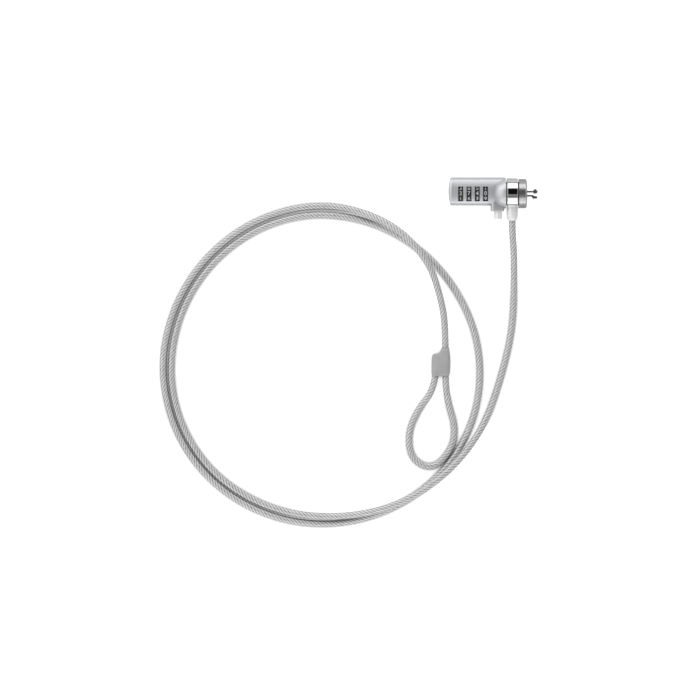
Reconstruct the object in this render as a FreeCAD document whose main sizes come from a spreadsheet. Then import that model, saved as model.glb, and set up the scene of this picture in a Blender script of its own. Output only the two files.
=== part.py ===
import FreeCAD, Part
import math
import os

import Sketcher

# Laptop cable lock: a combination lock head on a swivel ring, with a steel cable that ends in an eye.
# The head lies on its side along X with the hooks towards +X, and the cable leaves it towards -Y.
# Lengths are in millimetres. Head pieces are drawn from the centre of the nose collar's front face,
# with the lock's axis along X.

DIMENSIONS = {
    # nose collar, swivel ring and the journal they sit on
    "collar_radius": 9.35,
    "collar_length": 5.05,
    "collar_rim": 1.2,
    "collar_wall": 1.3,
    "mouth_half_height": 2.05,
    "ring_radius": 9.8,
    "ring_width": 6.9,
    "ring_edge": 0.4,
    "ring_gap": 0.7,
    "ring_wall": 2.45,
    "stub_radius": 6.2,
    "flange_radius": 8.1,
    "flange_thick": 1.5,
    "lip_thick": 1.0,
    "core_bore": 4.4,
    "web_thick": 3.7,
    "slot_half_height": 2.5,
    "running_gap": 0.05,
    "slide_gap": 0.15,
    "overrun": 1.0,
    # oval barrel with its domed shoulder
    "barrel_half_height": 9.0,
    "barrel_half_depth": 5.4,
    "barrel_side_radius": 4.5,
    "barrel_offset": 1.35,
    "barrel_wall": 1.0,
    "barrel_edge": 1.0,
    "barrel_back": 45.4,
    "dome_radius": 9.6,
    "dome_centre": 13.0,
    # end cap
    "cap_length": 4.5,
    "cap_crown": 30.0,
    "cap_round": 2.2,
    "cap_spigot": 1.2,
    "cap_floor": 1.3,
    "cap_pin_radius": 0.4,
    "cap_pin_low": 4.2,
    "cap_pin_high": 1.5,
    "cap_pin_spread": 5.8,
    # dials and their windows
    "dial_first": 42.2,
    "dial_pitch": 5.27,
    "dial_radius": 5.7,
    "dial_width": 2.9,
    "dial_bore": 3.75,
    "dial_chamfer": 0.25,
    "grip_radius": 0.8,
    "grip_depth": 0.25,
    "window_width": 3.2,
    "window_top": 4.2,
    "window_bottom": 5.05,
    "rib_bore": 4.6,
    "tooth_width": 1.0,
    "tooth_height": 0.45,
    # code rings
    "code_flange_radius": 4.2,
    "code_flange": 0.6,
    "gate_half_width": 0.8,
    "gate_radius": 3.3,
    # spindle
    "spindle_radius": 2.0,
    "spindle_end": 45.9,
    "spring_bore": 1.35,
    "spring_bore_depth": 4.5,
    "head_back": 13.5,
    "head_front": 5.6,
    "fork_depth": 5.9,
    "lug_length": 1.2,
    "lug_radius": 3.1,
    "lug_half_width": 0.65,
    "lug_lead": 0.2,
    "cam_disc_radius": 3.9,
    "cam_disc_thick": 1.0,
    "cam_disc_front": 19.5,
    "spindle_travel": 2.0,
    # hooks, their pivot and their drive pin
    "pivot_back": 3.1,
    "pin_radius": 0.75,
    "pin_inset": 0.3,
    "hook_split": 0.1,
    "hook_thick": 2.6,
    "neck_inner": 0.65,
    "neck_outer": 1.6,
    "lower_neck_inner": 0.9,
    "lower_neck_outer": 1.85,
    "hook_start": 4.2,
    "hook_reach": 7.2,
    "hook_apex": 5.5,
    "hook_tip_height": 0.9,
    "hook_chin": 0.2,
    "lower_hook_start": 3.8,
    "hook_rise": 2.75,
    "lower_hook_reach": 6.9,
    "lower_hook_rise": 3.15,
    "hook_bevel": 0.4,
    "hook_eye": 1.5,
    "drive_back": 3.6,
    "cam_rise": 1.07,
    "tail_length": 6.9,
    "tail_drop": 2.6,
    # release button
    "button_back": 18.25,
    "button_radius": 2.5,
    "button_end": 16.1,
    "button_travel": 3.0,
    "button_edge": 0.3,
    "block_bottom": 9.35,
    "block_floor": 7.0,
    "block_wedge_low": 6.75,
    "block_half_depth": 3.1,
    "block_front_gap": 0.2,
    "prong_inner": 2.3,
    "prong_top": 0.75,
    "cam_play": 0.1,
    "boss_back": 22.9,
    "boss_top": 3.0,
    "boss_bottom": 11.2,
    "boss_half_depth": 4.0,
    "boss_round": 1.9,
    "boss_edge": 0.5,
    # detent spring
    "detent_height": 6.9,
    "detent_thick": 0.4,
    "detent_half_width": 1.1,
    "detent_tip": 5.75,
    "detent_tip_half": 0.4,
    "detent_foot_half": 1.2,
    # code setting screw
    "setter_height": 6.3,
    "setter_radius": 1.5,
    "setter_flange_radius": 2.0,
    "setter_flange": 1.0,
    "setter_recess": 1.0,
    "setter_slot": 0.6,
    "setter_slot_depth": 0.8,
    # shell screw
    "screw_back": 18.8,
    "screw_height": 6.8,
    "screw_radius": 0.9,
    "screw_head_radius": 1.6,
    "screw_head": 0.9,
    "screw_head_low": 4.3,
    "screw_tip": 3.0,
    "screw_boss_radius": 2.1,
    # cable ferrule
    "ferrule_radius": 3.6,
    "ferrule_waist": 3.55,
    "ferrule_mouth": 2.5,
    "ferrule_shoulder": 7.0,
    "ferrule_waist_drop": 13.5,
    "ferrule_end": 17.4,
    "ferrule_top": 7.9,
    "ferrule_spigot": 2.4,
    "ferrule_bore_top": 9.8,
    # return spring
    "coil_radius": 1.0,
    "coil_wire": 0.35,
    "coil_turns": 8,
    # cable, crimp and moulded sleeve
    "cable_radius": 2.2,
    "strand_spacing": 5.8,
    "sleeve_middle": 33.2,
    "sleeve_bottom": 113.05,
    "sleeve_short": 14.1,
    "sleeve_long": 17.9,
    "sleeve_width": 12.1,
    "sleeve_height": 7.8,
    "sleeve_corner": 3.6,
    "sleeve_edge": 1.0,
    "crimp_bottom": 111.55,
    "crimp_length": 11.0,
    "crimp_width": 10.9,
    "crimp_height": 6.4,
    "crimp_corner": 3.0,
}

DIALS = 4
DIGITS = 10

# The main cable's route from the ferrule: points in the part's own frame, x, y and height.
ROUTE_START = [(12.15, -20, 9.8), (13.3, -33, 7.4), (13.6, -46, 4.0), (13.7, -62, 2.2), (12.3, -86, 2.2)]

# Round the two turns: bearing in degrees and distance from LOOP_CENTRE, and height. The first crossing
# is a hump over the second turn, and the last one carries the cable over the first turn.
LOOP_CENTRE = (-110.6, -104.05)
ROUTE_TURNS = [
    (-6, 116.1, 2.2),
    (-22, 113.1, 2.2),
    (-41, 108.8, 11.0),
    (-62, 104.7, 11.0),
    (-84, 100.8, 5.0),
    (-107, 100.1, 2.2),
    (-130, 99.9, 2.2),
    (-152, 99.0, 2.2),
    (-174, 97.6, 2.2),
    (-197, 95.8, 2.2),
    (-220, 94.9, 2.2),
    (-243, 95.1, 2.2),
    (-265, 95.9, 2.2),
    (-287, 96.2, 2.2),
    (-309, 97.3, 2.2),
    (-331, 99.6, 2.2),
    (-353, 103.2, 2.2),
    (-375, 106.0, 2.2),
    (-397, 107.4, 2.2),
    (-420, 106.6, 2.2),
    (-443, 105.9, 2.2),
    (-466, 105.4, 2.2),
    (-489, 105.0, 2.2),
    (-512, 104.3, 2.2),
    (-535, 102.8, 2.2),
    (-557, 101.0, 2.2),
    (-579, 100.1, 2.2),
    (-601, 100.4, 2.2),
    (-622, 101.2, 2.2),
    (-641, 101.3, 2.2),
    (-660, 99.6, 11.0),
    (-678, 94.4, 11.0),
]
ROUTE_END = [(-32.9, -64.75, 7.0), (-30.3, -81.75, 3.9)]

# The eye's route from the right-hand bore of the crimp round to the left-hand one.
EYE = [(-30.3, -119.75, 3.9), (-27.9, -132.75, 2.2), (-24.0, -145.75, 2.2), (-25.7, -159.25, 2.2),
       (-37.9, -173.0, 2.2), (-52.0, -166.95, 2.2), (-54.4, -150.75, 2.2), (-48.6, -135.75, 2.2),
       (-36.1, -119.5, 3.9)]

doc = FreeCAD.newDocument("CableLock")


class Size:
    """A number together with the sheet expression that gives it."""

    def __init__(self, value, text):
        self.value = value
        self.text = text

    def __add__(self, other):
        other = size(other)
        return Size(self.value + other.value, f"({self.text} + {other.text})")

    def __sub__(self, other):
        other = size(other)
        return Size(self.value - other.value, f"({self.text} - {other.text})")

    def __mul__(self, other):
        other = size(other)
        return Size(self.value * other.value, f"({self.text} * {other.text})")

    def __truediv__(self, other):
        other = size(other)
        return Size(self.value / other.value, f"({self.text} / {other.text})")

    def __neg__(self):
        return Size(-self.value, f"(0 - {self.text})")


def size(number):
    """Gives a plain number the form of a Size."""
    return number if isinstance(number, Size) else Size(float(number), repr(float(number)))


def root(number):
    """The square root of a Size."""
    return Size(math.sqrt(number.value), f"sqrt({number.text})")


def fill_sheet():
    """Writes the driving dimensions into the sheet and returns them by name."""
    sheet = doc.addObject("Spreadsheet::Sheet", "Sizes")
    sizes = {}
    for row, (name, value) in enumerate(DIMENSIONS.items(), start=1):
        sheet.set(f"A{row}", name)
        sheet.set(f"B{row}", str(value))
        sheet.setAlias(f"B{row}", name)
        sizes[name] = Size(float(value), f"Sizes.{name}")
    doc.recompute()
    return sizes


class Names:
    """The driving dimensions as attributes."""

    def __init__(self, sizes):
        self.__dict__.update(sizes)


S = Names(fill_sheet())
ZERO = size(0)


# Places worked out from the driving dimensions

RING_FRONT = -(S.collar_length + S.ring_gap)
RING_BACK = RING_FRONT - S.ring_width
RING_MIDDLE = RING_FRONT - S.ring_width / 2
RING_INSIDE = S.ring_radius - S.ring_wall
JOURNAL = RING_INSIDE - S.running_gap
SHOULDER = RING_BACK - S.ring_gap
LIP_BACK = SHOULDER - S.lip_thick
FLANGE_BACK = LIP_BACK - S.flange_thick
WEB_BACK = -(S.collar_wall + S.web_thick)
CAP_SEAM = -S.barrel_back
CAP_END = CAP_SEAM - S.cap_length
CAP_BORE_END = CAP_END + S.cap_floor
SPIGOT_END = CAP_SEAM + S.cap_spigot
HOOK_DEPTH = S.hook_split + S.hook_thick
PIVOT = -S.pivot_back
DRIVE = PIVOT - S.drive_back
CORE_BORE_GAP = S.core_bore - S.running_gap
CAM_FRONT = -S.cam_disc_front
BLOCK_FRONT = FLANGE_BACK - S.block_front_gap
STROKE_RATIO = S.spindle_travel / S.button_travel
PRONG_CHORD = root(S.cam_disc_radius * S.cam_disc_radius - S.prong_inner * S.prong_inner)
WEDGE_TOP = CAM_FRONT + S.cam_play + (PRONG_CHORD - S.prong_top) * STROKE_RATIO
WEDGE_BOTTOM = WEDGE_TOP - (S.block_wedge_low - S.prong_top) * STROKE_RATIO
SHELL_TOP = S.barrel_offset + S.barrel_half_height

# The head's place: the part's origin is under the middle of the head and its ferrule.
NOSE_X = (-CAP_END - S.hook_reach) / 2
AXIS_Y = (S.ferrule_end - SHELL_TOP) / 2
AXIS_Z = S.ring_radius
STRAND_Z = S.sleeve_height / 2
STRAND_RIGHT = S.strand_spacing / 2 - S.sleeve_middle
STRAND_LEFT = -S.sleeve_middle - S.strand_spacing / 2


def dial_x(i):
    """The middle of a dial, counted from the cap."""
    return S.dial_pitch * i - S.dial_first


# Drawing helpers

TURN = {
    "x": FreeCAD.Rotation(FreeCAD.Vector(0, 1, 0), 90),
    "y": FreeCAD.Rotation(FreeCAD.Vector(1, 0, 0), -90),
    "z": FreeCAD.Rotation(),
}


def put(obj, place, turn=None):
    """Places an object at three sizes."""
    place = [size(v) for v in place]
    obj.Placement = FreeCAD.Placement(FreeCAD.Vector(*[v.value for v in place]), turn or FreeCAD.Rotation())
    for axis, v in zip("xyz", place):
        obj.setExpression(f"Placement.Base.{axis}", v.text)
    return obj


def seat(obj, node, at=(ZERO, ZERO, ZERO)):
    """Names a finished head piece and carries it from the nose to its place in the part."""
    obj.Label = node
    put(obj, (NOSE_X + at[0], AXIS_Y + at[1], AXIS_Z + at[2]))
    NODES[node] = obj
    return obj


def lay(obj, node):
    """Names a finished piece that is drawn in the part's own frame."""
    obj.Label = node
    NODES[node] = obj
    return obj


NODES = {}


def rod(name, axis, radius, low, high, at=(0, 0)):
    """A cylinder along an axis from low to high."""
    obj = doc.addObject("Part::Cylinder", name)
    obj.setExpression("Radius", size(radius).text)
    obj.setExpression("Height", (size(high) - size(low)).text)
    a, b = at
    place = {"x": (low, a, b), "y": (a, low, b), "z": (a, b, low)}[axis]
    return put(obj, place, TURN[axis])


def box(name, x, y, z):
    """A box between three pairs of sizes."""
    obj = doc.addObject("Part::Box", name)
    for prop, (low, high) in zip(("Length", "Width", "Height"), (x, y, z)):
        obj.setExpression(prop, (size(high) - size(low)).text)
    return put(obj, (x[0], y[0], z[0]))


def ball(name, radius, x, y=0, z=0):
    """A sphere."""
    obj = doc.addObject("Part::Sphere", name)
    obj.setExpression("Radius", radius.text)
    return put(obj, (x, y, z))


def join(name, *parts):
    """One solid from several."""
    obj = doc.addObject("Part::MultiFuse", name)
    obj.Shapes = list(parts)
    obj.Refine = True
    return obj


def shared(name, one, other):
    """What two solids share."""
    obj = doc.addObject("Part::MultiCommon", name)
    obj.Shapes = [one, other]
    obj.Refine = True
    return obj


def cut(name, base, *tools):
    """A solid less one or more others."""
    obj = doc.addObject("Part::Cut", name)
    obj.Base = base
    obj.Tool = tools[0] if len(tools) == 1 else join(name + "_tools", *tools)
    obj.Refine = True
    return obj


def both_sides(half):
    """A pair of sizes each side of zero."""
    return (-half, half)


def plane(body, role):
    """One of a body's own origin planes."""
    return [f for f in body.Origin.OriginFeatures if f.Role == role][0]


def arc_between(p, q, radius, side):
    """The short arc from p to q with its centre to the left (1) or right (-1) of the way."""
    mid = (p + q) * 0.5
    way = q - p
    rise = math.sqrt(max(radius * radius - (way.Length / 2) ** 2, 0))
    left = FreeCAD.Vector(-way.y, way.x, 0).normalize()
    centre = mid + left * (rise * side)
    a = math.atan2(p.y - centre.y, p.x - centre.x)
    b = math.atan2(q.y - centre.y, q.x - centre.x)
    circle = Part.Circle(centre, FreeCAD.Vector(0, 0, 1), radius)
    if side < 0:
        a, b = b, a
    return Part.ArcOfCircle(circle, a, b)


def draw(body, name, role, outline, offset=None):
    """A closed sketch. Each corner is two sizes, and one with a radius and side starts an arc."""
    sketch = body.newObject("Sketcher::SketchObject", name)
    sketch.AttachmentSupport = (plane(body, role), [""])
    sketch.MapMode = "FlatFace"
    if offset is not None:
        sketch.AttachmentOffset = FreeCAD.Placement(FreeCAD.Vector(0, 0, offset.value), FreeCAD.Rotation())
        sketch.setExpression("AttachmentOffset.Base.z", offset.text)
    corners = [(size(c[0]), size(c[1])) for c in outline]
    spots = [FreeCAD.Vector(x.value, y.value, 0) for x, y in corners]
    ends = []
    for i, corner in enumerate(outline):
        p = spots[i]
        q = spots[(i + 1) % len(spots)]
        if len(corner) == 4:
            sketch.addGeometry(arc_between(p, q, corner[2].value, corner[3]))
            ends.append((1, 2) if corner[3] > 0 else (2, 1))
        else:
            sketch.addGeometry(Part.LineSegment(p, q))
            ends.append((1, 2))
    for i, corner in enumerate(outline):
        after = (i + 1) % len(outline)
        sketch.addConstraint(Sketcher.Constraint("Coincident", i, ends[i][1], after, ends[after][0]))
    for i, (x, y) in enumerate(corners):
        for kind, v in (("DistanceX", x), ("DistanceY", y)):
            k = sketch.addConstraint(Sketcher.Constraint(kind, -1, 1, i, ends[i][0], v.value))
            sketch.setExpression(f"Constraints[{k}]", v.text)
    for i, corner in enumerate(outline):
        if len(corner) == 4:
            k = sketch.addConstraint(Sketcher.Constraint("Radius", i, corner[2].value))
            sketch.setExpression(f"Constraints[{k}]", corner[2].text)
    return sketch


def add_pad(body, name, sketch, length):
    """Raises a sketch along its plane's normal."""
    pad = body.newObject("PartDesign::Pad", name)
    pad.Profile = sketch
    pad.setExpression("Length", size(length).text)
    return pad


def revolved(name, outline, axis="H_Axis"):
    """A turned piece: the outline in the XY plane spun about X (H_Axis) or Y (V_Axis)."""
    body = doc.addObject("PartDesign::Body", name)
    sketch = draw(body, name + "_profile", "XY_Plane", outline)
    turned = body.newObject("PartDesign::Revolution", name + "_turned")
    turned.Profile = sketch
    turned.ReferenceAxis = (sketch, [axis])
    turned.Angle = 360
    return body


def padded(name, role, outline, low, high):
    """A piece of one section, from low to high along its plane's normal."""
    body = doc.addObject("PartDesign::Body", name)
    sketch = draw(body, name + "_profile", role, outline, size(low))
    add_pad(body, name + "_pad", sketch, size(high) - size(low))
    return body


def rounded(body, name, radius, chosen):
    """Fillets the chosen edges of a body."""
    doc.recompute()
    base = body.Tip
    edges = [f"Edge{i}" for i, e in enumerate(base.Shape.Edges, start=1) if chosen(e)]
    fillet = body.newObject("PartDesign::Fillet", name)
    fillet.Base = (base, edges)
    fillet.setExpression("Radius", radius.text)
    body.Tip = fillet
    return body


def oval(half_height, half_depth, side_radius, offset):
    """A four-arc oval in the YZ plane: flat crowned faces and tight sides."""
    reach = half_height - side_radius
    face_radius = (reach * reach + half_depth * half_depth - side_radius * side_radius) / (
        (half_depth - side_radius) * 2)
    spread = face_radius - side_radius
    y = face_radius * reach / spread
    z = (face_radius - half_depth) * side_radius / spread
    return [
        (offset - y, z, face_radius, -1),
        (offset + y, z, side_radius, -1),
        (offset + y, -z, face_radius, -1),
        (offset - y, -z, side_radius, -1),
    ]


def outer_oval(inset):
    """The barrel's section, drawn in by an inset."""
    inset = size(inset)
    return oval(S.barrel_half_height - inset, S.barrel_half_depth - inset, S.barrel_side_radius - inset,
                S.barrel_offset)


def rounded_box(low, high, half, corner, middle=ZERO):
    """A rectangle with round corners, from low to high across and half up and down."""
    return [
        (low, middle + half - corner, corner, -1),
        (low + corner, middle + half),
        (high - corner, middle + half, corner, -1),
        (high, middle + half - corner),
        (high, middle - half + corner, corner, -1),
        (high - corner, middle - half),
        (low + corner, middle - half, corner, -1),
        (low, middle - half + corner),
    ]


# Nose: collar, ring, core and ferrule

def nose_collar():
    bore = S.stub_radius + S.running_gap
    turned = revolved("collar_body", [
        (-S.collar_length, bore),
        (-S.collar_length, S.collar_radius),
        (-S.collar_rim, S.collar_radius, S.collar_rim, -1),
        (ZERO, S.collar_radius - S.collar_rim),
        (ZERO, ZERO),
        (-S.collar_wall, ZERO),
        (-S.collar_wall, bore),
    ])
    mouth = box("collar_mouth", both_sides(S.collar_wall * 2), both_sides(S.mouth_half_height),
                both_sides(HOOK_DEPTH + S.slide_gap))
    seat(cut("collar_cut", turned, mouth), "nose_collar")


def swivel_ring():
    inner = RING_INSIDE
    turned = revolved("ring_body", [
        (RING_BACK, inner),
        (RING_BACK, S.ring_radius - S.ring_edge, S.ring_edge, -1),
        (RING_BACK + S.ring_edge, S.ring_radius),
        (RING_FRONT - S.ring_edge, S.ring_radius, S.ring_edge, -1),
        (RING_FRONT, S.ring_radius - S.ring_edge),
        (RING_FRONT, inner),
    ])
    socket = rod("ring_socket", "y", S.ferrule_spigot + S.running_gap, -S.ring_radius * 2, -S.core_bore,
                 (RING_MIDDLE, 0))
    seat(cut("ring_cut", turned, socket), "swivel_ring")


def journal_core():
    turned = revolved("core_body", [
        (FLANGE_BACK, S.core_bore),
        (FLANGE_BACK, S.flange_radius),
        (LIP_BACK, S.flange_radius),
        (LIP_BACK, JOURNAL),
        (-S.collar_length, JOURNAL),
        (-S.collar_length, S.stub_radius),
        (-S.collar_wall, S.stub_radius),
        (-S.collar_wall, ZERO),
        (WEB_BACK, ZERO),
        (WEB_BACK, S.core_bore),
    ])
    hook_slot = box("core_hook_slot", (WEB_BACK - S.collar_wall, ZERO), both_sides(S.slot_half_height),
                    both_sides(HOOK_DEPTH + S.slide_gap))
    pin_hole = rod("core_pin_hole", "z", S.pin_radius + S.running_gap, -S.collar_radius, S.collar_radius,
                   (PIVOT, 0))
    notch = box("core_notch", (FLANGE_BACK - S.lip_thick, LIP_BACK),
                (-S.collar_radius, -(S.core_bore + S.slide_gap * 4)),
                both_sides(S.block_half_depth + S.slide_gap * 2))
    seat(cut("core_cut", turned, hook_slot, pin_hole, notch), "journal_core")


def cable_ferrule():
    turned = revolved("ferrule_body", [
        (ZERO, -S.ferrule_top),
        (S.ferrule_radius, -S.ferrule_top),
        (S.ferrule_waist, -S.ferrule_waist_drop, S.ferrule_shoulder, -1),
        (S.ferrule_mouth, -S.ferrule_end),
        (ZERO, -S.ferrule_end),
    ], "V_Axis")
    put(turned, (RING_MIDDLE, 0, 0))
    saddle = rod("ferrule_saddle", "x", S.ring_radius + S.running_gap, RING_BACK - S.overrun,
                 RING_FRONT + S.overrun)
    collar = cut("ferrule_saddled", turned, saddle)
    spigot = rod("ferrule_spigot", "y", S.ferrule_spigot, -S.ring_radius - S.overrun,
                 -(JOURNAL + S.slide_gap), (RING_MIDDLE, 0))
    whole = join("ferrule_whole", collar, spigot)
    bore = rod("ferrule_bore", "y", S.cable_radius + S.running_gap, -S.ferrule_end - S.overrun,
               -S.ferrule_bore_top, (RING_MIDDLE, 0))
    seat(cut("ferrule_cut", whole, bore), "cable_ferrule")


# Barrel: two shell halves and the end cap

def shell_outside():
    barrel = padded("barrel_outside", "YZ_Plane", outer_oval(0), CAP_SEAM, SHOULDER)
    front_face = SHOULDER.value
    rounded(barrel, "barrel_fillet", S.barrel_edge,
            lambda e: all(abs(v.X - front_face) < 1e-6 for v in e.Vertexes))
    dome_back = -(S.dome_centre + S.dome_radius) - S.overrun
    dome = shared("shell_dome", ball("dome_ball", S.dome_radius, -S.dome_centre),
                  box("dome_box", (dome_back, SHOULDER), both_sides(S.dome_radius * 2),
                      both_sides(S.dome_radius * 2)))
    boss = padded("button_boss", "XZ_Plane",
                  rounded_box(-S.boss_back, LIP_BACK, S.boss_half_depth, S.boss_round),
                  S.boss_top, S.boss_bottom)
    low_face = -S.boss_bottom.value
    rounded(boss, "boss_fillet", S.boss_edge,
            lambda e: all(abs(v.Y - low_face) < 1e-6 for v in e.Vertexes))
    return join("shell_outside", barrel, dome, boss)


def shell_ribs():
    """The walls between the dials, each with a bore for the code rings and a slot for the detent."""
    wide = S.barrel_half_height * 2
    walls = []
    for i in range(DIALS):
        low = dial_x(i) + S.window_width / 2
        high = low + S.dial_pitch - S.window_width
        walls.append(box(f"rib_{i + 1}", (low, high), both_sides(wide), both_sides(wide)))
    block = join("rib_walls", *walls)
    bore = rod("rib_bore", "x", S.rib_bore, CAP_SEAM, FLANGE_BACK)
    slot = box("rib_slot", (CAP_SEAM, FLANGE_BACK),
               (S.detent_height - S.running_gap, S.detent_height + S.detent_thick + S.running_gap),
               both_sides(S.detent_half_width + S.running_gap))
    return cut("ribs", block, bore, slot)


def screw_boss():
    deep = S.barrel_half_depth * 2
    return rod("screw_boss", "z", S.screw_boss_radius, -deep, deep, (-S.screw_back, S.screw_height))


def shell_cavities():
    inside = padded("barrel_inside", "YZ_Plane", outer_oval(S.barrel_wall), CAP_SEAM - S.overrun,
                    FLANGE_BACK - S.running_gap)
    hollow = cut("barrel_hollow", inside, shell_ribs(), screw_boss())
    flange = rod("flange_seat", "x", S.flange_radius + S.running_gap, FLANGE_BACK - S.running_gap, LIP_BACK)
    lip = rod("lip_bore", "x", JOURNAL + S.running_gap, LIP_BACK - S.overrun, SHOULDER + S.overrun)
    block = box("button_cavity", (WEDGE_BOTTOM - S.slide_gap, FLANGE_BACK), (-S.block_bottom, -S.boss_top),
                both_sides(S.block_half_depth + S.slide_gap))
    stem = rod("stem_bore", "y", S.button_radius + S.running_gap, -S.boss_bottom - S.overrun,
               -(S.block_bottom - S.button_travel - S.slide_gap), (-S.button_back, 0))
    windows = []
    deep = S.barrel_half_depth * 2
    for i in range(DIALS):
        half = S.window_width / 2
        windows.append(box(f"window_{i + 1}", (dial_x(i) - half, dial_x(i) + half),
                           (-S.window_bottom, S.window_top), both_sides(deep)))
    at = (-S.screw_back, S.screw_height)
    shank = rod("screw_hole", "z", S.screw_radius + S.running_gap, -deep, S.screw_tip + S.slide_gap, at)
    head = rod("screw_recess", "z", S.screw_head_radius + S.running_gap, -deep,
               S.screw_head - S.screw_head_low, at)
    return [hollow, flange, lip, block, stem, *windows, shank, head, *cap_pin_rods("hole", S.running_gap)]


def cap_pin_rods(word, gap):
    """The two pins that hold the cap's spigot, or their holes."""
    x = (CAP_SEAM + SPIGOT_END) / 2
    rods = []
    for i, side in enumerate((1, -1), start=1):
        y = S.barrel_offset + S.cap_pin_spread * side
        low = -S.cap_pin_low if word == "pin" else -S.barrel_half_depth * 2
        rods.append(rod(f"cap_{word}_{i}", "z", S.cap_pin_radius + gap, low, S.cap_pin_high, (x, y)))
    return rods


def shells():
    whole = cut("shell_whole", shell_outside(), *shell_cavities())
    far = S.barrel_back * 2
    upper = box("upper_half", (-far, far), both_sides(far), (ZERO, far))
    lower = box("lower_half", (-far, far), both_sides(far), (-far, ZERO))
    seat(shared("upper_shell_cut", whole, upper), "upper_shell")
    seat(shared("lower_shell_cut", whole, lower), "lower_shell")


def end_cap():
    body = padded("cap_body", "YZ_Plane", outer_oval(0), CAP_END, CAP_SEAM)
    far_face = CAP_END.value
    rounded(body, "cap_fillet", S.cap_round,
            lambda e: all(abs(v.X - far_face) < 1e-6 for v in e.Vertexes))
    crown = ball("cap_crown", S.cap_crown, CAP_END + S.cap_crown, S.barrel_offset)
    crowned = shared("cap_crowned", body, crown)
    spigot = padded("cap_spigot", "YZ_Plane", outer_oval(S.barrel_wall + S.running_gap),
                    CAP_SEAM - S.overrun, SPIGOT_END)
    whole = join("cap_whole", crowned, spigot)
    spindle = rod("cap_spindle_bore", "x", S.spindle_radius + S.running_gap, CAP_BORE_END,
                  SPIGOT_END + S.overrun)
    at = (S.setter_height, 0)
    step = CAP_SEAM - S.setter_flange
    setter = rod("cap_setter_bore", "x", S.setter_radius + S.running_gap, CAP_END - S.overrun,
                 SPIGOT_END + S.overrun, at)
    flange = rod("cap_setter_step", "x", S.setter_flange_radius + S.running_gap, step,
                 SPIGOT_END + S.overrun, at)
    seat(cut("cap_cut", whole, spindle, setter, flange, *cap_pin_rods("bore", S.running_gap)), "end_cap")
    seat(join("cap_pins_whole", *cap_pin_rods("pin", ZERO)), "cap_pins")


def shell_screw():
    head_top = S.screw_head - S.screw_head_low
    shank = rod("screw_shank", "z", S.screw_radius, head_top - S.screw_head / 2, S.screw_tip)
    head = rod("screw_head", "z", S.screw_head_radius, -S.screw_head_low, head_top)
    slot = box("screw_slot", both_sides(S.screw_head_radius * 2), both_sides(S.setter_slot / 2),
               (-S.screw_head_low - S.overrun, -S.screw_head_low + S.screw_head / 2))
    seat(cut("screw_cut", join("screw_whole", head, shank), slot), "shell_screw",
         (-S.screw_back, S.screw_height, ZERO))


def code_setter():
    outer = CAP_END + S.setter_recess
    step = CAP_SEAM - S.setter_flange
    turned = revolved("setter_body", [
        (outer, ZERO),
        (outer, S.setter_radius),
        (step, S.setter_radius),
        (step, S.setter_flange_radius),
        (CAP_SEAM, S.setter_flange_radius),
        (CAP_SEAM, ZERO),
    ])
    slot = box("setter_slot", (outer - S.overrun, outer + S.setter_slot_depth),
               both_sides(S.setter_radius * 2), both_sides(S.setter_slot / 2))
    seat(cut("setter_cut", turned, slot), "code_setter", (ZERO, S.setter_height, ZERO))


# Combination: dials, code rings and detent spring

def ring_of(body, name, feature, sketch):
    """Repeats a feature once for each digit, about X."""
    pattern = body.newObject("PartDesign::PolarPattern", name)
    pattern.Originals = [feature]
    pattern.Axis = (sketch, ["N_Axis"])
    pattern.Angle = 360
    pattern.Occurrences = DIGITS
    body.Tip = pattern
    return pattern


def add_pocket(body, name, sketch, length):
    """Cuts a sketch forward along its plane's normal."""
    pocket = body.newObject("PartDesign::Pocket", name)
    pocket.Profile = sketch
    pocket.setExpression("Length", size(length).text)
    pocket.Reversed = True
    return pocket


def dial_wheel(i):
    name = f"dial_wheel_{i + 1}"
    half = S.dial_width / 2
    soft = S.dial_chamfer
    body = revolved(f"wheel_{i + 1}", [
        (-half, S.dial_bore),
        (-half, S.dial_radius - soft),
        (soft - half, S.dial_radius),
        (half - soft, S.dial_radius),
        (half, S.dial_radius - soft),
        (half, S.dial_bore),
    ])
    grip_y = S.dial_radius + S.grip_radius - S.grip_depth
    grip = draw(body, f"grip_{i + 1}", "YZ_Plane", [
        (grip_y - S.grip_radius, ZERO, S.grip_radius, -1),
        (grip_y, S.grip_radius),
        (grip_y + S.grip_radius, S.grip_radius),
        (grip_y + S.grip_radius, -S.grip_radius),
        (grip_y, -S.grip_radius, S.grip_radius, -1),
    ], -half)
    ring_of(body, f"grips_{i + 1}", add_pocket(body, f"grip_cut_{i + 1}", grip, S.dial_width), grip)
    key_half = S.tooth_width / 2 + S.running_gap
    key = draw(body, f"key_{i + 1}", "YZ_Plane", [
        (S.dial_bore - S.tooth_height, key_half),
        (S.dial_bore + S.tooth_height, key_half),
        (S.dial_bore + S.tooth_height, -key_half),
        (S.dial_bore - S.tooth_height, -key_half),
    ], -half)
    ring_of(body, f"keys_{i + 1}", add_pocket(body, f"key_cut_{i + 1}", key, S.dial_width), key)
    seat(body, name, (dial_x(i), ZERO, ZERO))


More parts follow.
